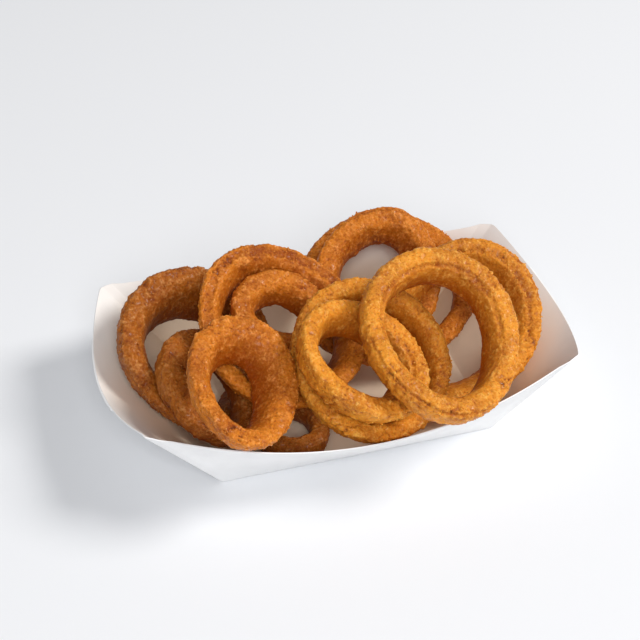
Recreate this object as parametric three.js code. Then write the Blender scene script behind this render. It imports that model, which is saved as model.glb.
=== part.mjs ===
// Battered onion rings heaped in a white paperboard boat tray.
// Millimetres, +Z up. Origin: middle of the underside of the tray's base, length along X.
import * as THREE from 'three';
import { ParametricGeometry } from 'three/addons/geometries/ParametricGeometry.js';
import { mergeVertices } from 'three/addons/utils/BufferGeometryUtils.js';

// Tray: flat base, four flared walls, rims that dip and bow between the four corner ears
const BASE_LENGTH = 140;
const BASE_WIDTH = 94;
const TOP_LENGTH = 214;
const TOP_WIDTH = 111;
const EAR_HEIGHT = 49;
const SIDE_BOW = 18;
const SIDE_DIP = 16;
const END_BOW = 12.5;
const END_DIP = 11.5;
const EAR_ROUNDING = 1;
const BOARD = 0.6;
const BOARD_ACROSS = 0.75;
const PANEL_BOARD = 0.5;
const PANEL_EDGE = 0.46;
const PANEL_FOOT = 0.97;
const SIDE_STEPS = 20;
const END_STEPS = 14;
const WALL_ROWS = 3;

// Rings: section exponent (2 is an ellipse, more is squarer), mesh steps and skin unevenness
const SECTION_POWER = 3;
const SECTION_STEPS = 10;
const STEP_LENGTH = 5.6;
const SKIN_RELIEF = 0.35;

const TRAY_WHITE = 0xf1f1ef;
const CRUST_GOLD = 0xcf8a36;
const CRUST_AMBER = 0xbd7429;
const CRUST_BROWN = 0xa65f22;

// One entry for each ring, lowest first.
// radii: half width and half length of the middle line; band: height along the axis; wall: thickness.
// flare: how much the band widens upward, as a share of its height; at: centre; lean: tilt of the axis
// from vertical; toward: bearing of that tilt; turn: spin on the axis.
// corners, warp, fat: share and phase of three-cornered outline, out-of-plane bend, and uneven thickness.
const RINGS = {
  ring_floor_front: {
    radii: [13.5, 15], band: 12, wall: 9.5, flare: 0, at: [-30.5, -28.8, 7.7],
    lean: 0.5, toward: 144.5, turn: 54.5,
    corners: [0.02, 10], warp: [0.6, 20], fat: [0.06, 50], color: CRUST_BROWN,
  },
  ring_back_low: {
    radii: [38, 41], band: 14, wall: 11.5, flare: 0.16, at: [40.5, 36.5, 30],
    lean: 25.5, toward: -113.5, turn: 16,
    corners: [0.02, 60], warp: [1.2, 10], fat: [0.08, 200], color: CRUST_AMBER,
  },
  ring_left_low: {
    radii: [34.5, 33.5], band: 21.5, wall: 13.2, flare: 0.45, at: [-68.3, 14.1, 29],
    lean: 38.5, toward: -49, turn: 66,
    corners: [0.02, 20], warp: [1.4, 60], fat: [0.2, 100], color: CRUST_BROWN,
  },
  ring_back_high: {
    radii: [26, 30], band: 17, wall: 12, flare: 0.29, at: [35, 34.5, 41],
    lean: 33, toward: -89, turn: 62,
    corners: [0.03, 80], warp: [1.2, 100], fat: [0.1, 120], color: CRUST_AMBER,
  },
  ring_left_mid: {
    radii: [19, 24.5], band: 13.5, wall: 13.5, flare: 0.22, at: [-68.2, -17.1, 33.2],
    lean: 32.5, toward: -32.5, turn: 46.5,
    corners: [0.02, 50], warp: [1.0, 30], fat: [0.22, 137], color: CRUST_BROWN,
  },
  ring_right_rear: {
    radii: [31, 41], band: 17.5, wall: 11.5, flare: 0.42, at: [61.5, -8.5, 36.5],
    lean: 36.5, toward: -96, turn: 40.5,
    corners: [0.035, 15], warp: [1.5, 80], fat: [0.1, 67], color: CRUST_GOLD,
  },
  ring_top_left: {
    radii: [35.5, 37], band: 16, wall: 11, flare: 0.4, at: [-28.1, 1.9, 47.1],
    lean: 28, toward: -69, turn: 94,
    corners: [0.02, 90], warp: [1.6, 120], fat: [0.09, 60], color: CRUST_AMBER,
  },
  ring_top_left_inner: {
    radii: [14.5, 19.5], band: 15, wall: 11, flare: 0.32, at: [-25.5, 9, 49.5],
    lean: 30, toward: -67, turn: 143,
    corners: [0.02, 0], warp: [0.8, 0], fat: [0.16, 40], color: CRUST_AMBER,
  },
  ring_mid_outer: {
    radii: [35.5, 34], band: 15.5, wall: 10.5, flare: 0.28, at: [8.4, -29.5, 44],
    lean: 30, toward: -76.5, turn: 161,
    corners: [0.02, 30], warp: [1.5, 150], fat: [0.08, 90], color: CRUST_GOLD,
  },
  ring_front_left: {
    radii: [19, 27], band: 17.5, wall: 12, flare: 0.45, at: [-60, -42, 55],
    lean: 26.5, toward: -42.5, turn: 31.5,
    corners: [0.03, 40], warp: [1.0, 70], fat: [0.16, 60], color: CRUST_AMBER,
  },
  ring_mid_inner: {
    radii: [24, 27.5], band: 17, wall: 11.5, flare: 0.34, at: [-0.5, -40.5, 54.5],
    lean: 30.5, toward: -42.5, turn: 109.5,
    corners: [0.025, 75], warp: [1.2, 20], fat: [0.09, 240], color: CRUST_GOLD,
  },
  ring_right_front: {
    radii: [32.5, 37.5], band: 17, wall: 12.5, flare: 0.16, at: [37, -42.5, 65.5],
    lean: 27, toward: -71.5, turn: 65,
    corners: [0.02, 45], warp: [1.5, 40], fat: [0.1, 40], color: CRUST_GOLD,
  },
};

const radians = THREE.MathUtils.degToRad;

// Power curve that turns a cosine or sine into a squarer section
function squared(value) {
  return Math.sign(value) * Math.abs(value) ** (2 / SECTION_POWER);
}

// Low waves with seeded phases, so that no two rings have the same skin
function skinWaves(seed) {
  const waves = [];
  for (let k = 0; k < 9; k += 1) {
    waves.push({
      round: 2 + k,
      across: 1 + (k % 3),
      phase: radians((seed * 77 + k * 131) % 360),
      share: 1 / (1.6 + 0.5 * k),
    });
  }
  const total = waves.reduce((sum, wave) => sum + wave.share, 0);
  return (theta, phi) => waves.reduce(
    (sum, wave) => sum + wave.share * Math.cos(wave.round * theta + wave.across * phi + wave.phase),
    0,
  ) / total;
}

// A ring's closed surface: an oval middle line carrying a tall rounded section
function ringGeometry(spec, seed) {
  const skin = skinWaves(seed);
  const [a, b] = spec.radii;
  const steps = 2 * Math.round((Math.PI * (a + b)) / STEP_LENGTH / 2);
  const surface = (u, v, target) => {
    const theta = u * 2 * Math.PI;
    const phi = v * 2 * Math.PI;
    const outline = 1 + spec.corners[0] * Math.cos(3 * (theta - radians(spec.corners[1])));
    const lift = spec.warp[0] * Math.cos(2 * (theta - radians(spec.warp[1])));
    const swell = spec.fat[0] * Math.cos(theta - radians(spec.fat[1]));
    const bump = 1.6 * SKIN_RELIEF * skin(theta, phi);
    const across = ((spec.wall / 2) * (1 + swell) + bump) * squared(Math.cos(phi));
    const along = ((spec.band / 2) * (1 + 0.4 * swell) + bump) * squared(Math.sin(phi));
    const reach = across + spec.flare * along;
    const cx = a * outline * Math.cos(theta);
    const cy = b * outline * Math.sin(theta);
    const out = new THREE.Vector2(Math.cos(theta), Math.sin(theta));
    target.set(cx + out.x * reach, cy + out.y * reach, lift + along);
  };
  const geometry = new ParametricGeometry(surface, steps, SECTION_STEPS);
  geometry.deleteAttribute('normal');
  geometry.deleteAttribute('uv');
  return mergeVertices(geometry, 1e-3);
}

// Height and outward shift of a rim at t, which runs from -1 to 1 between two ears
function rimDrop(t, dip) {
  const nearEar = Math.max(0, (Math.abs(t) - 0.94) / 0.06);
  return dip * (1 - t * t) + EAR_ROUNDING * nearEar * nearEar;
}

// Stations from one ear to the next, with a close pair at each edge of an end's outer panel
function stations(steps, isEnd) {
  const list = [-0.985, 0.985];
  for (let i = 0; i < steps; i += 1) {
    list.push(-1 + (2 * i) / steps);
  }
  if (isEnd) {
    list.push(-PANEL_EDGE - 0.012, -PANEL_EDGE, PANEL_EDGE, PANEL_EDGE + 0.012);
  }
  return list.sort((p, q) => p - q);
}

// Moves an end's stations apart towards the base, where the outer panel is as wide as the wall
function spread(t, s) {
  const edge = THREE.MathUtils.lerp(PANEL_FOOT, PANEL_EDGE, s);
  const size = Math.abs(t);
  if (size <= PANEL_EDGE) {
    return (t * edge) / PANEL_EDGE;
  }
  return Math.sign(t) * (1 - ((1 - size) * (1 - edge)) / (1 - PANEL_EDGE));
}

// Places along the four walls in turn: the wall, the station and whether the outer panel covers it
function around(s) {
  const long = { half: [BASE_LENGTH / 2, TOP_LENGTH / 2], reach: [BASE_WIDTH / 2, TOP_WIDTH / 2] };
  const short = { half: long.reach, reach: long.half };
  const walls = [
    { ...long, dir: [1, 0], out: [0, -1] },
    { ...short, dir: [0, 1], out: [1, 0], isEnd: true },
    { ...long, dir: [-1, 0], out: [0, 1] },
    { ...short, dir: [0, -1], out: [-1, 0], isEnd: true },
  ];
  return walls.flatMap((wall) => stations(wall.isEnd ? END_STEPS : SIDE_STEPS, wall.isEnd).map((t) => ({
    wall,
    t: wall.isEnd ? spread(t, s) : t,
    panel: Boolean(wall.isEnd) && Math.abs(t) <= PANEL_EDGE && s > 0,
  })));
}

// Points of the board's outer face round the tray at a share s of the wall's height
function outerLoop(s, panelBoard = PANEL_BOARD) {
  return around(s).map(({ wall, t, panel }) => {
    const bow = wall.isEnd ? END_BOW : SIDE_BOW;
    const dip = wall.isEnd ? END_DIP : SIDE_DIP;
    const along = t * THREE.MathUtils.lerp(wall.half[0], wall.half[1], s);
    const flare = THREE.MathUtils.lerp(wall.reach[0], wall.reach[1] + bow * (1 - t * t), s);
    const reach = flare + (panel ? panelBoard : 0);
    return new THREE.Vector3(
      wall.dir[0] * along + wall.out[0] * reach,
      wall.dir[1] * along + wall.out[1] * reach,
      s * (EAR_HEIGHT - rimDrop(t, dip)),
    );
  });
}

// The inner face: the same loop without the outer panels, moved in by the board's thickness
function innerLoop(s) {
  const places = around(s);
  const shrink = (value, share) => value - Math.sign(value) * Math.min(Math.abs(value), BOARD_ACROSS * share);
  return outerLoop(s, 0).map((point, index) => {
    const { wall, t } = places[index];
    const corner = Math.abs(t) > 0.999;
    const x = shrink(point.x, wall.isEnd || corner ? 1 : Math.abs(t));
    const y = shrink(point.y, !wall.isEnd || corner ? 1 : Math.abs(t));
    return new THREE.Vector3(x, y, Math.max(point.z, BOARD));
  });
}

// Skins a stack of loops with the same number of points and closes both ends to a middle point
function loft(loops) {
  const positions = [];
  const index = [];
  const count = loops[0].length;
  loops.forEach((loop) => loop.forEach((p) => positions.push(p.x, p.y, p.z)));
  for (let row = 0; row < loops.length - 1; row += 1) {
    for (let i = 0; i < count; i += 1) {
      const j = (i + 1) % count;
      const low = row * count;
      const high = low + count;
      index.push(low + i, low + j, high + j, low + i, high + j, high + i);
    }
  }
  const close = (loop, first, flip) => {
    const middle = positions.length / 3;
    positions.push(0, 0, loop[0].z);
    for (let i = 0; i < count; i += 1) {
      const j = (i + 1) % count;
      index.push(middle, first + (flip ? j : i), first + (flip ? i : j));
    }
  };
  close(loops[0], 0, true);
  close(loops[loops.length - 1], (loops.length - 1) * count, false);
  const geometry = new THREE.BufferGeometry();
  geometry.setAttribute('position', new THREE.Float32BufferAttribute(positions, 3));
  geometry.setIndex(index);
  return geometry;
}

function trayGeometry() {
  const loops = [];
  for (let row = 0; row <= WALL_ROWS; row += 1) {
    loops.push(outerLoop(row / WALL_ROWS));
  }
  for (let row = WALL_ROWS; row >= 0; row -= 1) {
    loops.push(innerLoop(row / WALL_ROWS));
  }
  return loft(loops);
}

const heapedTray = new THREE.Group();

const tray = new THREE.Mesh(
  trayGeometry(),
  new THREE.MeshStandardMaterial({ color: TRAY_WHITE, roughness: 0.75, metalness: 0 }),
);
tray.name = 'tray';
heapedTray.add(tray);

Object.entries(RINGS).forEach(([name, spec], seed) => {
  const ring = new THREE.Mesh(
    ringGeometry(spec, seed + 1),
    new THREE.MeshStandardMaterial({ color: spec.color, roughness: 0.6, metalness: 0 }),
  );
  ring.name = name;
  ring.rotation.z = radians(spec.turn);
  const leaning = new THREE.Group();
  leaning.rotation.y = radians(spec.lean);
  leaning.add(ring);
  const placed = new THREE.Group();
  placed.rotation.z = radians(spec.toward);
  placed.position.set(...spec.at);
  placed.add(leaning);
  heapedTray.add(placed);
});

export default heapedTray;
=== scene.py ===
import math
import random

import bmesh
import bpy
import numpy as np
from bpy.props import FloatProperty, FloatVectorProperty, IntProperty, PointerProperty
from mathutils import Euler, Matrix, Vector, noise


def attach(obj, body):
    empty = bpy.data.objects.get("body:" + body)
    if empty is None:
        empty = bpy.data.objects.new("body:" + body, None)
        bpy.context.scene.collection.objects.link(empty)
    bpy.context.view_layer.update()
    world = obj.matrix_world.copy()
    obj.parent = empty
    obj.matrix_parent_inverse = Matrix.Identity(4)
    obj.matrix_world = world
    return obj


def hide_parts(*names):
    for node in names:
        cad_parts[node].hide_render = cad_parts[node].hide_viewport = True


bl_info = {
    "name": "Onion Rings in a Paper Tray",
    "version": (1, 0, 0),
    "blender": (4, 5, 0),
    "location": "View3D > Sidebar > Rings",
    "description": "Battered onion rings heaped in a folded paperboard boat tray",
    "category": "Object",
}

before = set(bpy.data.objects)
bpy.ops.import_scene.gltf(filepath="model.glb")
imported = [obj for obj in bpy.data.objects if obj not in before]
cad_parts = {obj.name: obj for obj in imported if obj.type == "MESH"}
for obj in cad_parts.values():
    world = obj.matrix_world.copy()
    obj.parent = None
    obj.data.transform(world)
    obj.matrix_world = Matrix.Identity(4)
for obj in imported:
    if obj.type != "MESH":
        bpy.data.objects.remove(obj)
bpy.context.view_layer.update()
MM = 0.001

# Each ring in millimetres and degrees. radii: half axes of the middle line; band: height; wall: thickness;
# flare: how much the band widens upward, as a share of its height; at: centre; lean: tilt of the axis;
# toward: bearing of that tilt; turn: spin on the axis. corners, warp and fat: size and phase of the
# three-cornered outline, of the bend out of its plane and of the uneven thickness.
RINGS = {
    "ring_floor_front": dict(
        radii=(13.5, 15), band=12, wall=9.5, flare=0, at=(-30.5, -28.8, 7.7),
        lean=0.5, toward=144.5, turn=54.5,
        corners=(0.02, 10), warp=(0.6, 20), fat=(0.06, 50), tone="brown",
    ),
    "ring_back_low": dict(
        radii=(38, 41), band=14, wall=11.5, flare=0.16, at=(40.5, 36.5, 30),
        lean=25.5, toward=-113.5, turn=16,
        corners=(0.02, 60), warp=(1.2, 10), fat=(0.08, 200), tone="amber",
    ),
    "ring_left_low": dict(
        radii=(34.5, 33.5), band=21.5, wall=13.2, flare=0.45, at=(-68.3, 14.1, 29),
        lean=38.5, toward=-49, turn=66,
        corners=(0.02, 20), warp=(1.4, 60), fat=(0.2, 100), tone="brown",
    ),
    "ring_back_high": dict(
        radii=(26, 30), band=17, wall=12, flare=0.29, at=(35, 34.5, 41),
        lean=33, toward=-89, turn=62,
        corners=(0.03, 80), warp=(1.2, 100), fat=(0.1, 120), tone="amber",
    ),
    "ring_left_mid": dict(
        radii=(19, 24.5), band=13.5, wall=13.5, flare=0.22, at=(-68.2, -17.1, 33.2),
        lean=32.5, toward=-32.5, turn=46.5,
        corners=(0.02, 50), warp=(1.0, 30), fat=(0.22, 137), tone="brown",
    ),
    "ring_right_rear": dict(
        radii=(31, 41), band=17.5, wall=11.5, flare=0.42, at=(61.5, -8.5, 36.5),
        lean=36.5, toward=-96, turn=40.5,
        corners=(0.035, 15), warp=(1.5, 80), fat=(0.1, 67), tone="gold",
    ),
    "ring_top_left": dict(
        radii=(35.5, 37), band=16, wall=11, flare=0.4, at=(-28.1, 1.9, 47.1),
        lean=28, toward=-69, turn=94,
        corners=(0.02, 90), warp=(1.6, 120), fat=(0.09, 60), tone="amber",
    ),
    "ring_top_left_inner": dict(
        radii=(14.5, 19.5), band=15, wall=11, flare=0.32, at=(-25.5, 9, 49.5),
        lean=30, toward=-67, turn=143,
        corners=(0.02, 0), warp=(0.8, 0), fat=(0.16, 40), tone="amber",
    ),
    "ring_mid_outer": dict(
        radii=(35.5, 34), band=15.5, wall=10.5, flare=0.28, at=(8.4, -29.5, 44),
        lean=30, toward=-76.5, turn=161,
        corners=(0.02, 30), warp=(1.5, 150), fat=(0.08, 90), tone="gold",
    ),
    "ring_front_left": dict(
        radii=(19, 27), band=17.5, wall=12, flare=0.45, at=(-60, -42, 55),
        lean=26.5, toward=-42.5, turn=31.5,
        corners=(0.03, 40), warp=(1.0, 70), fat=(0.16, 60), tone="amber",
    ),
    "ring_mid_inner": dict(
        radii=(24, 27.5), band=17, wall=11.5, flare=0.34, at=(-0.5, -40.5, 54.5),
        lean=30.5, toward=-42.5, turn=109.5,
        corners=(0.025, 75), warp=(1.2, 20), fat=(0.09, 240), tone="gold",
    ),
    "ring_right_front": dict(
        radii=(32.5, 37.5), band=17, wall=12.5, flare=0.16, at=(37, -42.5, 65.5),
        lean=27, toward=-71.5, turn=65,
        corners=(0.02, 45), warp=(1.5, 40), fat=(0.1, 40), tone="gold",
    ),
}

# Marks that only some rings show. start and end: bearings seen from above, in degrees, counted from +X;
# phi: place on the section (0 outer wall, 90 crown, 180 inner wall); half: half width in degrees of phi.
# A groove is cut to its depth in mm, and one of negative depth is a ridge; knobs make the lumps higher.
MARKS = {
    "ring_top_left": [dict(kind="groove", start=20, end=195, phi=92, half=20, depth=1.1)],
    "ring_back_high": [
        dict(kind="groove", start=30, end=120, phi=66, half=14, depth=0.6),
        dict(kind="groove", start=10, end=135, phi=212, half=48, depth=-1.1),
    ],
    "ring_right_front": [
        dict(kind="groove", start=-20, end=190, phi=122, half=17, depth=0.8),
        dict(kind="groove", start=176, end=296, phi=56, half=13, depth=0.9),
        dict(kind="knobs", start=196, end=300, phi=50, half=50, depth=0.5),
    ],
    "ring_mid_inner": [
        dict(kind="knobs", start=-95, end=45, phi=105, half=75, depth=0.8),
        dict(kind="groove", start=-80, end=30, phi=125, half=15, depth=0.9),
    ],
    "ring_front_left": [dict(kind="knobs", start=40, end=140, phi=80, half=60, depth=0.6)],
    "ring_right_rear": [
        dict(kind="groove", start=-40, end=130, phi=104, half=15, depth=0.8),
        dict(kind="groove", start=-20, end=70, phi=70, half=13, depth=0.6),
        dict(kind="knobs", start=-60, end=60, phi=30, half=60, depth=0.5),
    ],
    "ring_left_low": [dict(kind="knobs", start=80, end=220, phi=60, half=60, depth=0.5)],
    "ring_mid_outer": [dict(kind="groove", start=-30, end=60, phi=62, half=12, depth=0.7)],
}


class BatterSettings(bpy.types.PropertyGroup):
    """Relief and colours of the fried batter"""

    mesh_step: FloatProperty(
        name="Mesh step", description="Edge length of the crust's mesh", default=0.42 * MM,
        unit="LENGTH", precision=5)
    lump: FloatProperty(
        name="Lumps", description="Depth of the broad lumps in the batter", default=0.75 * MM,
        unit="LENGTH", precision=5)
    nub: FloatProperty(
        name="Nubs", description="Height of the fried nubs", default=0.55 * MM,
        unit="LENGTH", precision=5)
    grain: FloatProperty(
        name="Grain", description="Height of the fine unevenness between the nubs", default=0.34 * MM,
        unit="LENGTH", precision=5)
    gold: FloatVectorProperty(
        name="Golden crust", description="Base colour of the lightest rings", default=(0.80, 0.288, 0.020),
        subtype="COLOR", size=3)
    amber: FloatVectorProperty(
        name="Amber crust", description="Base colour of the rings fried a little longer",
        default=(0.65, 0.194, 0.010), subtype="COLOR", size=3)
    brown: FloatVectorProperty(
        name="Brown crust", description="Base colour of the darkest rings", default=(0.42, 0.116, 0.006),
        subtype="COLOR", size=3)
    crumbs_per_ring: IntProperty(
        name="Crumbs", description="Loose crumbs stuck on a large ring", default=300, min=0)
    crumb: FloatProperty(
        name="Crumb size", description="Radius of a crumb", default=0.42 * MM, unit="LENGTH", precision=5)


class TraySettings(bpy.types.PropertyGroup):
    """Sizes and colour of the folded paperboard tray"""

    base_length: FloatProperty(name="Base length", description="Length of the flat base",
                               default=140 * MM, unit="LENGTH")
    base_width: FloatProperty(name="Base width", description="Width of the flat base",
                              default=94 * MM, unit="LENGTH")
    top_length: FloatProperty(name="Top length", description="Length between two ears of a long wall",
                              default=214 * MM, unit="LENGTH")
    top_width: FloatProperty(name="Top width", description="Width between two ears of an end wall",
                             default=111 * MM, unit="LENGTH")
    ear_height: FloatProperty(name="Ear height", description="Height of the four corner ears",
                              default=49 * MM, unit="LENGTH")
    board: FloatProperty(name="Board", description="Thickness of the paperboard",
                         default=0.55 * MM, unit="LENGTH", precision=5)
    colour: FloatVectorProperty(name="Board colour", description="White of the uncoated board",
                                default=(0.925, 0.925, 0.925), subtype="COLOR", size=3)
    # The inner faces are painted warmer than the board for bounce light from the rings and light through
    # the board; near the food a stronger painted bounce tint takes over
    inner_colour: FloatVectorProperty(
        name="Inner colour", description="White of the inner faces, above the painted bounce tint",
        default=(0.95, 0.92, 0.88), subtype="COLOR", size=3)
    bounce_tint_colour: FloatVectorProperty(
        name="Bounce tint", description="Colour of the inner faces near the food, tinted by painted bounce light from the rings",
        default=(0.96, 0.78, 0.58), subtype="COLOR", size=3)


class StageSettings(bpy.types.PropertyGroup):
    """Floor and lights of the studio"""

    floor_colour: FloatVectorProperty(name="Floor", description="Colour of the pale floor",
                                      default=(0.85, 0.86, 0.88), subtype="COLOR", size=3)
    key_power: FloatProperty(name="Key light", description="Power of the large soft key light in watts",
                             default=65.0, subtype="POWER")
    fill_power: FloatProperty(name="Fill light", description="Power of the weak front fill in watts",
                              default=39.0, subtype="POWER")
    sky: FloatProperty(name="Sky", description="Strength of the even light from all round", default=0.33)


# Bows, dips and folds of the tray; the ear and the corner fold are stations from -1 to 1 along a wall
SIDE_BOW = 18 * MM
SIDE_DIP = 16 * MM
END_BOW = 12.5 * MM
END_DIP = 11.5 * MM
EAR_START = 0.94
EAR_ROUNDING = 1 * MM
CORNER_FOLD = 0.9444
CORNER_CREASE = 0.9 * MM
WAVE_HEIGHT = 0.25 * MM
WAVES_ALONG, WAVES_OUT, WAVES_UP = 22, 20, 1.7
FOLD_WIDTH = 0.5 * MM
BASE_STEPS = (72, 48)
WALL_ROWS = 18

# Glued end panels of the tray, with foot and edge as shares of the end wall's width
PANEL_FOOT = 0.97
PANEL_EDGE = 0.46
PANEL_START = 0.02
PANEL_BOARD = 0.9
PANEL_STEPS = (40, 14)
GLUE = 0.03 * MM

# Section of a ring, with its girth as a share of band plus wall, and the splits of each coarse face
SECTION_POWER = 3
SECTION_GIRTH = 1.6
SKIN_RELIEF = 0.56
BAND_SWELL = 0.4
SPLITS = 5

# Noise layers of the crust, each with its grain in millimetres and its shift; cracks run where theirs is 0
WIDE_NOISE = (15.0, (0, 0, 0))
LARGE_NOISE = (8.0, (6, 1, 3))
CRACK_NOISE = (6.4, (1, 8, 4))
MID_NOISE = (4.2, (3, 7, 1))
SMALL_NOISE = (2.1, (1, 4, 9))
TINY_NOISE = (1.05, (9, 2, 5))
CRACK_DEPTH = 0.60 * MM
CRACK_WIDTH = 0.12

# Degrees over which a mark fades out at its ends, and by which it wanders over the section
MARK_FADE = 16
MARK_WANDER = 12

# Loose crumbs: how they vary, how far they stand out as a share of their size, and where they are left out
CRUMB_SEED = 1
CRUMB_SIZES = (0.55, 1.25)
CRUMB_STRETCH = ((0.7, 1.3), (0.7, 1.2), (0.6, 1.0))
CRUMB_LIFT = 0.35
CRUMB_GRAIN = 0.8 * MM
CRUMB_ROUGHNESS = 0.16 * MM
# Crumbs read as raised and unshaded, so they take the pale tone with its painted highlight
CRUMB_MASKS = (0.72, 0.0, 0.0, 1.0)
LARGE_RING_POINTS = 50000
HIDDEN_LIMIT = 0.4

# Tones of the crust, worked out from the base colour: the toast tone serves real toasting and painted shade
# in the hollows, the deep tone is painted shade on hole walls and undersides, and the pale tone serves pale
# grains and painted highlights
TOAST_AND_SHADE_SHARE = (0.46, 0.30, 0.20)
PAINTED_SHADE_SHARE = (0.46, 0.27, 0.04)
PALE_GAIN = 1.3
PALE_LIFT = (0.12, 0.14, 0.08)
BRIGHTEST = 0.97

# Patterns of crust and paper, in repeats per metre
CLOUD_SCALE = 62
PATCH_SCALE = 210
OIL_SCALE = 420
GRIT_SCALE = 900
SAND_SCALE = 2300
PAPER_CLOUD_SCALE = 60
FIBRE_SCALE = 2600

# Heights on the inner walls where the painted bounce light from the rings starts, and below which it is
# full
BOUNCE_TINT_TOP = 43 * MM
BOUNCE_TINT_FULL = 17 * MM

# Floor and lights of the studio, in metres
KEY_PLACE, KEY_SIZE, KEY_COLOUR = (2.20, -0.42, 2.30), 1.25, (1.0, 0.985, 0.965)
FILL_PLACE, FILL_SIZE, FILL_COLOUR = (-0.50, -2.1, 1.85), 1.5, (0.97, 0.985, 1.0)
LIGHT_TARGET = (0, 0, 35 * MM)
SKY_COLOUR = (0.98, 0.98, 1.0)
FLOOR_RADIUS = 4.0

# Camera fitted to the photo, in degrees and millimetres, with the photo's width and scale in pixels
VIEW_AZIMUTH = -18.53
VIEW_ELEVATION = 40.166
VIEW_ROLL = 2.268
VIEW_DISTANCE = 700
VIEW_HEIGHT = 30
VIEW_RIGHT, VIEW_UP = -6.8635, 14.1482
PHOTO_WIDTH = 640
PIXELS_PER_MM = 1.98371
SENSOR_WIDTH = 36
CLIP_START = 10


def finish_mesh(bm, name):
    """Turns a bmesh into an object at the origin that rides on the part"""
    mesh = bpy.data.meshes.new(name)
    for face in bm.faces:
        face.smooth = True
    bm.to_mesh(mesh)
    bm.free()
    piece = bpy.data.objects.new(name, mesh)
    bpy.context.scene.collection.objects.link(piece)
    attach(piece, "root")
    return piece


def squared(value):
    """Power curve that turns a cosine or sine into a squarer section"""
    return np.sign(value) * np.abs(value) ** (2 / SECTION_POWER)


def skin_waves(seed):
    """Low waves with seeded phases, so that no two rings have the same skin"""
    waves = []
    for k in range(9):
        phase = math.radians((seed * 77 + k * 131) % 360)
        waves.append((2 + k, 1 + k % 3, phase, 1 / (1.6 + 0.5 * k)))
    total = sum(share for _, _, _, share in waves)
    return [(around, across, phase, share / total) for around, across, phase, share in waves]


def smooth_step(low, high, value):
    """Eased ramp from 0 at low to 1 at high"""
    share = np.clip((value - low) / (high - low), 0, 1)
    return share * share * (3 - 2 * share)


# Random slopes for the noise, and the primes that pick one of them for each corner of a cell
SLOPES = np.random.default_rng(11).normal(size=(1024, 3))
SLOPES /= np.linalg.norm(SLOPES, axis=1)[:, None]
PRIMES = np.array((73856093, 19349663, 83492791))


def rough_field(points, grain, shift):
    """Smooth random value of about -0.7 to 0.7 at each point, with lumps as large as the grain"""
    places = points / grain + np.array(shift, float)
    corner = np.floor(places).astype(np.int64)
    inside = places - corner
    ease = inside ** 3 * (inside * (inside * 6 - 15) + 10)
    value = np.zeros(len(points))
    for step in np.ndindex(2, 2, 2):
        pick = np.bitwise_xor.reduce((corner + step) * PRIMES, axis=1) % len(SLOPES)
        rise = (SLOPES[pick] * (inside - step)).sum(1)
        share = np.ones(len(points))
        for axis in range(3):
            share *= ease[:, axis] if step[axis] else 1 - ease[:, axis]
        value += rise * share
    return value


def mark_share(mark, bearing, phi, wander):
    """How strongly a mark acts at each bearing and place on the section, from 0 to 1"""
    span = mark["end"] - mark["start"]
    at = (np.degrees(bearing) - mark["start"]) % 360
    ends = smooth_step(0, MARK_FADE, at) * smooth_step(0, MARK_FADE, span - at)
    off = (np.degrees(phi) - mark["phi"] + MARK_WANDER * wander + 180) % 360 - 180
    if mark["kind"] == "groove":
        return ends * np.maximum(0.0, 1 - (off / mark["half"]) ** 2)
    return ends * smooth_step(0.0, 0.5, 1 - np.abs(off) / mark["half"])


def ring_place(spec):
    """Matrix that lays a ring in its place in the heap"""
    turned = Matrix.Rotation(math.radians(spec["turn"]), 4, "Z")
    leaned = Matrix.Rotation(math.radians(spec["lean"]), 4, "Y")
    toward = Matrix.Rotation(math.radians(spec["toward"]), 4, "Z")
    return Matrix.Translation(Vector(spec["at"]) * MM) @ toward @ leaned @ turned


def ring_points(spec, seed, theta, phi):
    """Points of a ring's plain skin in millimetres, at angles round the ring and round its section"""
    a, b = spec["radii"]
    corner_share, corner_phase = spec["corners"]
    warp, warp_phase = spec["warp"]
    fat, fat_phase = spec["fat"]
    outline = 1 + corner_share * np.cos(3 * (theta - math.radians(corner_phase)))
    lift = warp * np.cos(2 * (theta - math.radians(warp_phase)))
    swell = fat * np.cos(theta - math.radians(fat_phase))
    bump = SKIN_RELIEF * sum(
        share * np.cos(around * theta + across * phi + phase)
        for around, across, phase, share in skin_waves(seed)
    )
    out = (spec["wall"] / 2 * (1 + swell) + bump) * squared(np.cos(phi))
    up = (spec["band"] / 2 * (1 + BAND_SWELL * swell) + bump) * squared(np.sin(phi))
    reach = out + spec["flare"] * up
    return np.stack([
        (a * outline + reach) * np.cos(theta),
        (b * outline + reach) * np.sin(theta),
        lift + up,
    ], axis=1)


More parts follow.
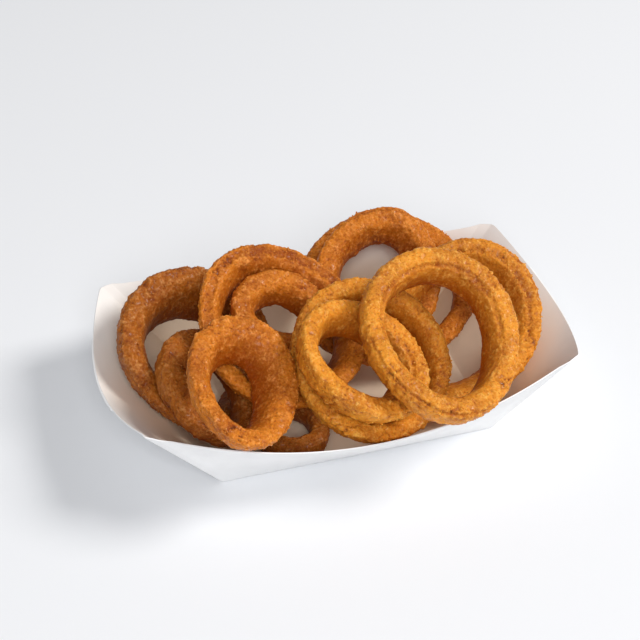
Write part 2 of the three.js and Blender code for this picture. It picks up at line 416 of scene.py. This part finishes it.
def crust_relief(name, spec, seed, theta, phi, points, batter):
    """Height of the crust over the plain skin, the masks that its material reads, and how hidden it lies"""
    p = points + np.array((seed * 37.3, seed * -19.7, seed * 11.1))
    # inner and under pick the hole walls and the undersides; shaded is a painted shade mask, which the
    # material darkens toward its deep tone
    inner = smooth_step(0.30, 0.90, -np.cos(phi))
    under = smooth_step(-0.25, 0.75, -np.sin(phi))
    shaded = np.clip(0.40 * inner + 0.60 * under + 0.35 * inner * under, 0, 1)
    wide = rough_field(p, *WIDE_NOISE)
    large = rough_field(p, *LARGE_NOISE)
    mid = rough_field(p, *MID_NOISE)
    small = rough_field(p, *SMALL_NOISE)
    tiny = rough_field(p, *TINY_NOISE)
    lump = large + 0.55 * mid
    rough = 0.5 + 0.6 * wide
    nubs = np.maximum(0, small + 0.3 * mid) ** 1.4 * 1.7 + np.maximum(0, tiny) * 0.55
    seams = np.abs(rough_field(p, *CRACK_NOISE) + 0.30 * small + 0.15 * tiny)
    cracks = np.maximum(0, 1 - seams / CRACK_WIDTH) * smooth_step(0.50, 0.74, rough) * (1 - 0.7 * inner)

    groove, knob = np.zeros(len(p)), np.zeros(len(p))
    swing = math.radians(spec["turn"] + spec["toward"])
    for mark in MARKS.get(name, []):
        share = mark_share(mark, theta + swing, phi, mid)
        if mark["kind"] == "groove":
            groove += mark["depth"] * share
        else:
            knob += mark["depth"] * share

    outer = 1 - 0.50 * inner
    height = (
        batter.lump * lump * (1 - 0.25 * inner)
        + batter.nub * nubs * outer * (0.6 + 0.8 * rough)
        + batter.grain * (small + 0.6 * tiny) * outer
        + MM * knob * (0.9 * mid + 0.7 * small)
        - CRACK_DEPTH * cracks
        - MM * groove * (0.9 + 0.2 * small)
    )
    # relief follows the crust's height; the material paints shade into its lows and cracks and a highlight
    # on its highs
    relief = 0.50 + 0.16 * large + 0.28 * mid + 0.42 * small + 0.42 * tiny + 0.25 * knob * (mid + small)
    # Cracks, grooves and undersides get a lower relief, which the material paints with shade
    relief -= 0.36 * cracks + 0.14 * np.minimum(1.2, groove) + 0.10 * under
    masks = [np.clip(relief, 0, 1), shaded, np.clip(groove * 0.8, 0, 1), np.ones(len(p))]
    return height, np.stack(masks, axis=1), inner + under


def build_ring(name, spec, seed, batter):
    """Spins a section into a ring, gives it its uneven shape and raises the crust's relief"""
    step = batter.mesh_step * (SPLITS + 1)
    around = round(math.pi * sum(spec["radii"]) * MM / step)
    sides = round(SECTION_GIRTH * (spec["band"] + spec["wall"]) * MM / step)

    # A plain ring of radius 1 gives the mesh, and its angles are read back to shape it
    bm = bmesh.new()
    stand = Matrix.Translation((1, 0, 0)) @ Matrix.Rotation(math.pi / 2, 4, "X")
    bmesh.ops.create_circle(bm, segments=sides, radius=0.25, matrix=stand)
    bmesh.ops.spin(bm, geom=bm.verts[:] + bm.edges[:], cent=(0, 0, 0), axis=(0, 0, 1),
                   angle=2 * math.pi, steps=around, use_merge=True)
    bmesh.ops.subdivide_edges(bm, edges=bm.edges[:], cuts=SPLITS, use_grid_fill=True)
    bmesh.ops.recalc_face_normals(bm, faces=bm.faces[:])
    piece = finish_mesh(bm, name.replace("ring_", "crust_ring_"))

    mesh = piece.data
    spun = np.empty(len(mesh.vertices) * 3)
    mesh.vertices.foreach_get("co", spun)
    x, y, z = spun.reshape(-1, 3).T
    theta = np.arctan2(y, x)
    phi = np.arctan2(z, np.hypot(x, y) - 1)
    points = ring_points(spec, seed, theta, phi)
    mesh.vertices.foreach_set("co", points.ravel() * MM)
    mesh.update()
    normals = np.empty(points.size)
    mesh.vertex_normals.foreach_get("vector", normals)
    normals = normals.reshape(-1, 3)

    height, masks, hidden = crust_relief(name, spec, seed, theta, phi, points, batter)
    layer = mesh.attributes.new("crust", "FLOAT_COLOR", "POINT")
    layer.data.foreach_set("color", masks.astype(np.float32).ravel())
    place = ring_place(spec)
    turn = np.array(place.to_3x3())
    skin = (points * MM + normals * height[:, None]) @ turn.T + np.array(place.translation)
    mesh.vertices.foreach_set("co", skin.ravel())
    mesh.update()
    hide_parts(name)
    mesh.materials.append(batter_material(spec["tone"], batter))
    return skin, normals @ turn.T, hidden, (theta, phi)


def nearest_point(angles, aims):
    """Number of the skin point closest to an angle round the ring and one round its section"""
    gaps = [np.abs((angle - aim + math.pi) % (2 * math.pi) - math.pi) for angle, aim in zip(angles, aims)]
    return int(np.argmin(gaps[0] + gaps[1]))


def build_crumbs(tone, skins, batter):
    """Loose crumbs of batter stuck on the rings of one tone"""
    chance = random.Random(len(tone) * 17 + len(skins))
    bm = bmesh.new()
    for skin, normals, hidden, angles in skins:
        for _ in range(round(batter.crumbs_per_ring * len(skin) / LARGE_RING_POINTS)):
            k = nearest_point(angles, [chance.uniform(-math.pi, math.pi) for _ in angles])
            if hidden[k] > HIDDEN_LIMIT:
                continue
            size = batter.crumb * chance.uniform(*CRUMB_SIZES)
            squash = Matrix.Diagonal((*(chance.uniform(*span) for span in CRUMB_STRETCH), 1))
            spin = Euler([chance.uniform(0, 6.28) for _ in range(3)]).to_matrix().to_4x4()
            place = Matrix.Translation(Vector(skin[k] + normals[k] * size * CRUMB_LIFT))
            bmesh.ops.create_icosphere(bm, subdivisions=2, radius=size, matrix=place @ spin @ squash)
    noise.seed_set(CRUMB_SEED)
    crust = bm.verts.layers.float_color.new("crust")
    for v in bm.verts:
        v.co += noise.noise_vector(v.co / CRUMB_GRAIN) * CRUMB_ROUGHNESS
        v[crust] = CRUMB_MASKS
    piece = finish_mesh(bm, "crumbs_" + tone)
    piece.data.materials.append(batter_material(tone, batter))


def new_group(name, inputs, outputs):
    """Starts a shader node group with named sockets"""
    group = bpy.data.node_groups.new(name, "ShaderNodeTree")
    for label, kind, value in inputs:
        socket = group.interface.new_socket(name=label, in_out="INPUT", socket_type=kind)
        if value is not None:
            socket.default_value = value
    for label, kind in outputs:
        group.interface.new_socket(name=label, in_out="OUTPUT", socket_type=kind)
    source = group.nodes.new("NodeGroupInput")
    sink = group.nodes.new("NodeGroupOutput")
    return group, source, sink


def add_node(tree, kind, place=(0, 0), **values):
    """Adds a node and sets its properties"""
    node = tree.nodes.new(kind)
    node.location = place
    for key, value in values.items():
        setattr(node, key, value)
    return node


def math_node(tree, operation, first, second=None, clamp=False):
    """A math node whose inputs are sockets or numbers; returns its output"""
    node = add_node(tree, "ShaderNodeMath", operation=operation, use_clamp=clamp)
    for slot, value in ((0, first), (1, second)):
        if value is None:
            continue
        if isinstance(value, (int, float)):
            node.inputs[slot].default_value = value
        else:
            tree.links.new(value, node.inputs[slot])
    return node.outputs[0]


def add_share(tree, value, mask, share):
    """A value plus a share of a mask"""
    return math_node(tree, "ADD", value, math_node(tree, "MULTIPLY", mask, share))


def ramp_value(tree, value, low, high):
    """Eased ramp of a value between two bounds"""
    node = add_node(tree, "ShaderNodeMapRange", interpolation_type="SMOOTHSTEP")
    node.inputs["From Min"].default_value = low
    node.inputs["From Max"].default_value = high
    tree.links.new(value, node.inputs["Value"])
    return node.outputs["Result"]


def mix_colour(tree, factor, first, second):
    """A colour mix node; returns its output"""
    node = add_node(tree, "ShaderNodeMix", data_type="RGBA")
    for socket, value in ((node.inputs[0], factor), (node.inputs[6], first), (node.inputs[7], second)):
        if isinstance(value, (int, float)):
            socket.default_value = value
        elif isinstance(value, tuple):
            socket.default_value = (*value[:3], 1.0)
        else:
            tree.links.new(value, socket)
    return node.outputs[2]


def noise_node(tree, vector, scale, detail=2.0, rough=0.5):
    """Noise texture at a scale; returns its value output"""
    node = add_node(tree, "ShaderNodeTexNoise")
    node.inputs["Scale"].default_value = scale
    node.inputs["Detail"].default_value = detail
    node.inputs["Roughness"].default_value = rough
    tree.links.new(vector, node.inputs["Vector"])
    return node.outputs["Fac"]


def batter_group():
    """Colour, gloss and fine height of fried batter, driven by the crust's relief, with painted shade in
    its lows, cracks, hole walls and undersides and painted highlights on its raised parts
    """
    if "fried_batter" in bpy.data.node_groups:
        return bpy.data.node_groups["fried_batter"]
    group, source, sink = new_group(
        "fried_batter",
        [("Vector", "NodeSocketVector", None),
         ("Relief", "NodeSocketFloat", 0.5),
         ("Shaded", "NodeSocketFloat", 0.0),
         ("Groove", "NodeSocketFloat", 0.0),
         ("Base", "NodeSocketColor", (0.6, 0.25, 0.04, 1)),
         ("Pale", "NodeSocketColor", (0.98, 0.57, 0.15, 1)),
         ("Toast", "NodeSocketColor", (0.33, 0.09, 0.012, 1)),
         ("Deep", "NodeSocketColor", (0.28, 0.08, 0.004, 1)),
         ("Char", "NodeSocketColor", (0.085, 0.018, 0.004, 1))],
        [("Colour", "NodeSocketColor"), ("Roughness", "NodeSocketFloat"),
         ("Oil", "NodeSocketFloat"), ("Height", "NodeSocketFloat")],
    )
    link = group.links.new
    vector = source.outputs["Vector"]
    relief = source.outputs["Relief"]
    shaded = source.outputs["Shaded"]
    outside = math_node(group, "SUBTRACT", 1.0, shaded)
    clouds = ramp_value(group, noise_node(group, vector, CLOUD_SCALE), 0.42, 0.64)
    patches = ramp_value(group, noise_node(group, vector, PATCH_SCALE, 3.0, 0.6), 0.42, 0.66)
    grit = noise_node(group, vector, GRIT_SCALE, 3.0, 0.7)
    sand = noise_node(group, vector, SAND_SCALE, 2.0, 0.6)
    raised = ramp_value(group, relief, 0.45, 0.95)

    # Painted shade in the low relief and in the grooves, together with real toasting in the clouds and
    # patches, turns the crust toward its toast tone
    toast_and_hollow_shade = math_node(group, "MULTIPLY", ramp_value(group, relief, 0.50, 0.05), 0.62)
    for mask, share in ((clouds, 0.42), (patches, 0.20), (source.outputs["Groove"], 0.45)):
        toast_and_hollow_shade = add_share(group, toast_and_hollow_shade, mask, share)
    toast_and_hollow_shade = math_node(group, "MULTIPLY", toast_and_hollow_shade, 1.0, clamp=True)
    colour = mix_colour(group, toast_and_hollow_shade, source.outputs["Base"], source.outputs["Toast"])

    # Painted shade on the hole walls and undersides, toward the deep tone
    painted_shade = math_node(group, "MULTIPLY", ramp_value(group, shaded, 0.06, 0.78), 0.95)
    colour = mix_colour(group, painted_shade, colour, source.outputs["Deep"])

    # Painted highlight on the raised crust, toward the pale tone
    tip_highlight = math_node(group, "MULTIPLY", raised, 0.42)
    colour = mix_colour(group, tip_highlight, colour, source.outputs["Pale"])
    # Pale grains, stronger on raised and unshaded crust: real pale crumbs with painted glints
    pale_grains_and_glints = ramp_value(group, add_share(group, grit, sand, 0.4), 0.67, 0.80)
    pale_grains_and_glints = math_node(group, "MULTIPLY", pale_grains_and_glints, add_share(group, 0.18, raised, 0.62))
    pale_grains_and_glints = math_node(group, "MULTIPLY", pale_grains_and_glints, add_share(group, 0.30, outside, 0.70))
    colour = mix_colour(group, pale_grains_and_glints, colour, source.outputs["Pale"])

    specks = ramp_value(group, grit, 0.43, 0.31)
    specks = math_node(group, "MULTIPLY", specks, add_share(group, 0.20, outside, 0.55))
    colour = mix_colour(group, specks, colour, source.outputs["Toast"])
    # Painted shade, near black, in the cracks and the deepest hollows
    cracks = math_node(group, "MULTIPLY", ramp_value(group, relief, 0.14, 0.0), 0.65)
    colour = mix_colour(group, cracks, colour, source.outputs["Char"])

    oil = ramp_value(group, noise_node(group, vector, OIL_SCALE), 0.45, 0.70)
    height = add_share(group, grit, sand, 0.45)
    height = math_node(group, "MULTIPLY", height, add_share(group, 0.30, outside, 0.70))
    link(colour, sink.inputs["Colour"])
    link(add_share(group, 0.30, grit, 0.34), sink.inputs["Roughness"])
    link(math_node(group, "MULTIPLY", oil, 0.30), sink.inputs["Oil"])
    link(height, sink.inputs["Height"])
    return group


def batter_material(tone, batter):
    """Fried batter of one tone"""
    name = "batter_" + tone
    if name in bpy.data.materials:
        return bpy.data.materials[name]
    material = bpy.data.materials.new(name)
    material.use_nodes = True
    tree = material.node_tree
    shader = tree.nodes["Principled BSDF"]
    base = tuple(getattr(batter, tone))
    # Toast tone: real toasting and painted shade; deep tone: painted shade; pale tone: pale grains and
    # painted highlights
    toast_and_shade_tone = [c * share for c, share in zip(base, TOAST_AND_SHADE_SHARE)]
    painted_shade = [c * share for c, share in zip(base, PAINTED_SHADE_SHARE)]
    pale = [min(BRIGHTEST, c * PALE_GAIN + lift) for c, lift in zip(base, PALE_LIFT)]
    coords = add_node(tree, "ShaderNodeTexCoord", (-900, 0))
    crust = add_node(tree, "ShaderNodeAttribute", (-900, -300), attribute_name="crust")
    split = add_node(tree, "ShaderNodeSeparateColor", (-700, -300))
    tree.links.new(crust.outputs["Color"], split.inputs[0])
    effect = add_node(tree, "ShaderNodeGroup", (-450, 0), node_tree=batter_group())
    tree.links.new(coords.outputs["Object"], effect.inputs["Vector"])
    for mask, label in zip(split.outputs, ("Relief", "Shaded", "Groove")):
        tree.links.new(mask, effect.inputs[label])
    for label, colour in (("Base", base), ("Toast", toast_and_shade_tone), ("Pale", pale), ("Deep", painted_shade)):
        effect.inputs[label].default_value = (*colour, 1)
    bump = add_node(tree, "ShaderNodeBump", (-200, -300))
    bump.inputs["Strength"].default_value = 1.0
    bump.inputs["Distance"].default_value = 0.6 * MM
    tree.links.new(effect.outputs["Height"], bump.inputs["Height"])
    tree.links.new(effect.outputs["Colour"], shader.inputs["Base Color"])
    tree.links.new(effect.outputs["Roughness"], shader.inputs["Roughness"])
    tree.links.new(effect.outputs["Oil"], shader.inputs["Coat Weight"])
    tree.links.new(bump.outputs["Normal"], shader.inputs["Normal"])
    shader.inputs["Coat Roughness"].default_value = 0.17
    shader.inputs["Coat IOR"].default_value = 1.45
    shader.inputs["Specular IOR Level"].default_value = 0.15
    shader.inputs["Subsurface Weight"].default_value = 0.22
    shader.inputs["Subsurface Radius"].default_value = (1.0, 0.42, 0.12)
    shader.inputs["Subsurface Scale"].default_value = 2.2 * MM
    return material


def paper_material(tray, inside=False):
    """White paperboard with faint fibres and mottling; low on the inner face it takes painted warm bounce
    light from the rings
    """
    name = "paperboard_inside" if inside else "paperboard"
    if name in bpy.data.materials:
        return bpy.data.materials[name]
    material = bpy.data.materials.new(name)
    material.use_nodes = True
    tree = material.node_tree
    shader = tree.nodes["Principled BSDF"]
    coords = add_node(tree, "ShaderNodeTexCoord", (-900, 0)).outputs["Object"]
    cloud = ramp_value(tree, noise_node(tree, coords, PAPER_CLOUD_SCALE, 3.0, 0.55), 0.3, 0.7)
    stretch = add_node(tree, "ShaderNodeMapping", (-700, -200))
    stretch.inputs["Scale"].default_value = (0.35, 1.0, 1.0)
    tree.links.new(coords, stretch.inputs["Vector"])
    fibre = noise_node(tree, stretch.outputs[0], FIBRE_SCALE, 3.0, 0.65)
    base = tuple(tray.inner_colour if inside else tray.colour)
    shade = tuple(c * 0.955 for c in base)
    colour = mix_colour(tree, cloud, shade, base)
    # Painted bounce light: low on the inner face the board turns warm, as if lit by the rings
    if inside:
        height = add_node(tree, "ShaderNodeSeparateXYZ", (-700, 300))
        tree.links.new(coords, height.inputs[0])
        low = ramp_value(tree, height.outputs[2], BOUNCE_TINT_TOP, BOUNCE_TINT_FULL)
        bounce_tint = tuple(tray.bounce_tint_colour)
        painted_bounce = mix_colour(tree, cloud, bounce_tint, tuple(c * 0.93 for c in bounce_tint))
        colour = mix_colour(tree, low, colour, painted_bounce)
    speck = ramp_value(tree, fibre, 0.62, 0.78)
    colour = mix_colour(tree, math_node(tree, "MULTIPLY", speck, 0.12), colour, (0.74, 0.72, 0.68))
    tree.links.new(colour, shader.inputs["Base Color"])
    tree.links.new(add_share(tree, 0.55, fibre, 0.25), shader.inputs["Roughness"])
    bump = add_node(tree, "ShaderNodeBump", (-200, -300))
    bump.inputs["Strength"].default_value = 0.25
    bump.inputs["Distance"].default_value = 0.08 * MM
    tree.links.new(fibre, bump.inputs["Height"])
    tree.links.new(bump.outputs["Normal"], shader.inputs["Normal"])
    shader.inputs["Specular IOR Level"].default_value = 0.35
    return material


def wall_point(tray, is_end, sign, t, s):
    """Point of the board's outer face at station t of a wall, from -1 to 1, and a share s of its height"""
    lengths = (tray.base_length / 2, tray.top_length / 2)
    widths = (tray.base_width / 2, tray.top_width / 2)
    half, reach = (widths, lengths) if is_end else (lengths, widths)
    bow, dip = (END_BOW, END_DIP) if is_end else (SIDE_BOW, SIDE_DIP)
    near_ear = max(0.0, (abs(t) - EAR_START) / (1 - EAR_START))
    drop = dip * (1 - t * t) + EAR_ROUNDING * near_ear * near_ear
    along = t * (half[0] + (half[1] - half[0]) * s)
    out = reach[0] + (reach[1] + bow * (1 - t * t) - reach[0]) * s
    if not is_end:
        kink = max(0.0, 1 - abs(abs(t) - CORNER_FOLD) / (1 - CORNER_FOLD))
        out += CORNER_CREASE * kink * s
    wave = noise.noise(Vector((along * WAVES_ALONG, out * WAVES_OUT + 3 * is_end, s * WAVES_UP)))
    out += wave * WAVE_HEIGHT * s
    z = s * (tray.ear_height - drop)
    return Vector((sign * out, along, z)) if is_end else Vector((along, sign * out, z))


def build_shell(bm, tray):
    """Base sheet with four walls extruded up from its edges"""
    length, width = tray.base_length, tray.base_width
    side = bm.verts.layers.int.new("side")
    station = bm.verts.layers.float.new("station")
    bmesh.ops.create_grid(bm, x_segments=BASE_STEPS[0], y_segments=BASE_STEPS[1], size=0.5,
                          matrix=Matrix.Diagonal((length, width, 1, 1)))
    for v in bm.verts:
        tx, ty = 2 * v.co.x / length, 2 * v.co.y / width
        if abs(abs(ty) - 1) < 1e-4:
            v[side] = 1 if ty > 0 else 2
            v[station] = tx
        elif abs(abs(tx) - 1) < 1e-4:
            v[side] = 3 if tx > 0 else 4
            v[station] = ty
    rim = [e for e in bm.edges if e.is_boundary]
    for row in range(1, WALL_ROWS + 1):
        made = bmesh.ops.extrude_edge_only(bm, edges=rim)["geom"]
        for v in (g for g in made if isinstance(g, bmesh.types.BMVert)):
            is_end = v[side] > 2
            sign = 1 if v[side] in (1, 3) else -1
            v.co = wall_point(tray, is_end, sign, v[station], row / WALL_ROWS)
        rim = [g for g in made if isinstance(g, bmesh.types.BMEdge) and g.is_boundary]


def build_panel(bm, tray, sign):
    """Outer panel glued on an end wall: a sheet that narrows from the base to the rim"""
    columns, rows = PANEL_STEPS
    sheet = bmesh.ops.create_grid(bm, x_segments=columns, y_segments=rows, size=0.5)["verts"]
    for v in sheet:
        s = PANEL_START + (1 - PANEL_START) * (v.co.y + 0.5)
        t = 2 * v.co.x * (PANEL_FOOT + (PANEL_EDGE - PANEL_FOOT) * s)
        p = wall_point(tray, True, sign, t, s)
        v.co = Vector((p.x + sign * (tray.board + GLUE), p.y, p.z))


def camera_axes():
    """Matrix whose columns are the camera's right, up and backward directions"""
    azimuth, elevation = math.radians(VIEW_AZIMUTH), math.radians(VIEW_ELEVATION)
    turned = Matrix.Rotation(azimuth, 4, "Z")
    raised = Matrix.Rotation(math.pi / 2 - elevation, 4, "X")
    return turned @ raised @ Matrix.Rotation(math.radians(VIEW_ROLL), 4, "Z")


class RINGS_OT_tray(bpy.types.Operator):
    """Folds the paperboard tray with its flared walls and glued end panels"""

    bl_idname = "rings.tray"
    bl_label = "Paper tray"

    def execute(self, context):
        tray = context.scene.paper_tray
        bm = bmesh.new()
        build_shell(bm, tray)
        bmesh.ops.recalc_face_normals(bm, faces=bm.faces[:])
        low = min(bm.faces, key=lambda f: f.calc_center_median().z)
        if low.normal.z > 0:
            bmesh.ops.reverse_faces(bm, faces=bm.faces[:])
        folds = [e for e in bm.edges if not e.is_boundary and e.calc_face_angle(0) > 0.5]
        bmesh.ops.bevel(bm, geom=folds, offset=FOLD_WIDTH, offset_type="OFFSET", segments=2,
                        profile=0.5, affect="EDGES", material=-1)
        side, station = bm.verts.layers.int["side"], bm.verts.layers.float["station"]
        for e in bm.edges:
            on_crease = all(
                v[side] in (1, 2) and abs(abs(v[station]) - CORNER_FOLD) < 1e-3 for v in e.verts)
            e.smooth = not (e.is_boundary or on_crease)
        piece = finish_mesh(bm, "paper_tray")
        shell = piece.modifiers.new("board", "SOLIDIFY")
        shell.thickness = tray.board
        shell.offset = -1
        shell.use_even_offset = True
        shell.material_offset = 1
        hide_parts("tray")
        piece.data.materials.append(paper_material(tray))
        piece.data.materials.append(paper_material(tray, inside=True))

        bm = bmesh.new()
        for sign in (1, -1):
            build_panel(bm, tray, sign)
        for f in bm.faces:
            centre = f.calc_center_median()
            f.normal_update()
            if f.normal.x * centre.x < 0:
                f.normal_flip()
        panels = finish_mesh(bm, "paper_tray_end_panels")
        sheet = panels.modifiers.new("board", "SOLIDIFY")
        sheet.thickness = tray.board * PANEL_BOARD
        sheet.offset = -1
        panels.data.materials.append(paper_material(tray))
        return {"FINISHED"}


class RINGS_OT_rings(bpy.types.Operator):
    """Models every battered ring of the heap and the crumbs stuck on it"""

    bl_idname = "rings.rings"
    bl_label = "Onion rings"

    def execute(self, context):
        batter = context.scene.ring_batter
        skins = {}
        for seed, (name, spec) in enumerate(RINGS.items(), 1):
            skins.setdefault(spec["tone"], []).append(build_ring(name, spec, seed, batter))
        for tone, found in skins.items():
            build_crumbs(tone, found, batter)
        return {"FINISHED"}


class RINGS_OT_stage(bpy.types.Operator):
    """Sets the pale floor, the soft lights and the camera"""

    bl_idname = "rings.stage"
    bl_label = "Stage"

    def execute(self, context):
        scene = context.scene
        stage = scene.ring_stage
        bm = bmesh.new()
        bmesh.ops.create_circle(bm, cap_ends=True, segments=96, radius=FLOOR_RADIUS)
        mesh = bpy.data.meshes.new("floor")
        bm.to_mesh(mesh)
        bm.free()
        floor = bpy.data.objects.new("floor", mesh)
        scene.collection.objects.link(floor)
        paint = bpy.data.materials.new("floor_paint")
        paint.use_nodes = True
        shader = paint.node_tree.nodes["Principled BSDF"]
        shader.inputs["Base Color"].default_value = (*stage.floor_colour, 1)
        shader.inputs["Roughness"].default_value = 0.7
        shader.inputs["Specular IOR Level"].default_value = 0.2
        floor.data.materials.append(paint)

        world = bpy.data.worlds.new("studio")
        scene.world = world
        world.use_nodes = True
        back = world.node_tree.nodes["Background"]
        back.inputs["Color"].default_value = (*SKY_COLOUR, 1)
        back.inputs["Strength"].default_value = stage.sky

        for name, place, size, power, colour in (
            ("key_light", KEY_PLACE, KEY_SIZE, stage.key_power, KEY_COLOUR),
            ("fill_light", FILL_PLACE, FILL_SIZE, stage.fill_power, FILL_COLOUR),
        ):
            lamp = bpy.data.lights.new(name, "AREA")
            lamp.shape = "DISK"
            lamp.size = size
            lamp.energy = power
            lamp.color = colour
            light = bpy.data.objects.new(name, lamp)
            scene.collection.objects.link(light)
            light.location = place
            aim = Vector(LIGHT_TARGET) - Vector(place)
            light.rotation_euler = aim.to_track_quat("-Z", "Y").to_euler()

        axes = camera_axes()
        right, up, back_axis = axes.col[0].xyz, axes.col[1].xyz, axes.col[2].xyz
        spot = Vector((0, 0, VIEW_HEIGHT)) + back_axis * VIEW_DISTANCE + right * VIEW_RIGHT + up * VIEW_UP
        eye = bpy.data.cameras.new("camera")
        eye.lens = PIXELS_PER_MM * VIEW_DISTANCE / PHOTO_WIDTH * SENSOR_WIDTH
        eye.sensor_width = SENSOR_WIDTH
        eye.sensor_fit = "HORIZONTAL"
        eye.clip_start = CLIP_START * MM
        camera = bpy.data.objects.new("camera", eye)
        scene.collection.objects.link(camera)
        camera.matrix_world = Matrix.Translation(spot * MM) @ axes
        scene.camera = camera
        scene.view_settings.view_transform = "Standard"
        scene.view_settings.look = "None"
        return {"FINISHED"}


class RINGS_PT_panel(bpy.types.Panel):
    """Lists the sizes and colours of the tray, the rings and the stage, with the buttons that make them"""

    bl_idname = "RINGS_PT_panel"
    bl_label = "Onion rings"
    bl_space_type = "VIEW_3D"
    bl_region_type = "UI"
    bl_category = "Rings"

    def draw(self, context):
        column = self.layout.column()
        for settings in (context.scene.ring_batter, context.scene.paper_tray, context.scene.ring_stage):
            for key in settings.__annotations__:
                column.prop(settings, key)
        for operator in (RINGS_OT_tray, RINGS_OT_rings, RINGS_OT_stage):
            column.operator(operator.bl_idname)


CLASSES = (
    BatterSettings, TraySettings, StageSettings,
    RINGS_OT_tray, RINGS_OT_rings, RINGS_OT_stage, RINGS_PT_panel,
)


def register():
    for cls in CLASSES:
        bpy.utils.register_class(cls)
    bpy.types.Scene.ring_batter = PointerProperty(type=BatterSettings)
    bpy.types.Scene.paper_tray = PointerProperty(type=TraySettings)
    bpy.types.Scene.ring_stage = PointerProperty(type=StageSettings)


def unregister():
    del bpy.types.Scene.ring_stage
    del bpy.types.Scene.paper_tray
    del bpy.types.Scene.ring_batter
    for cls in reversed(CLASSES):
        bpy.utils.unregister_class(cls)


def main():
    register()
    bpy.ops.rings.stage()
    bpy.ops.rings.tray()
    bpy.ops.rings.rings()


if __name__ == "__main__":
    main()
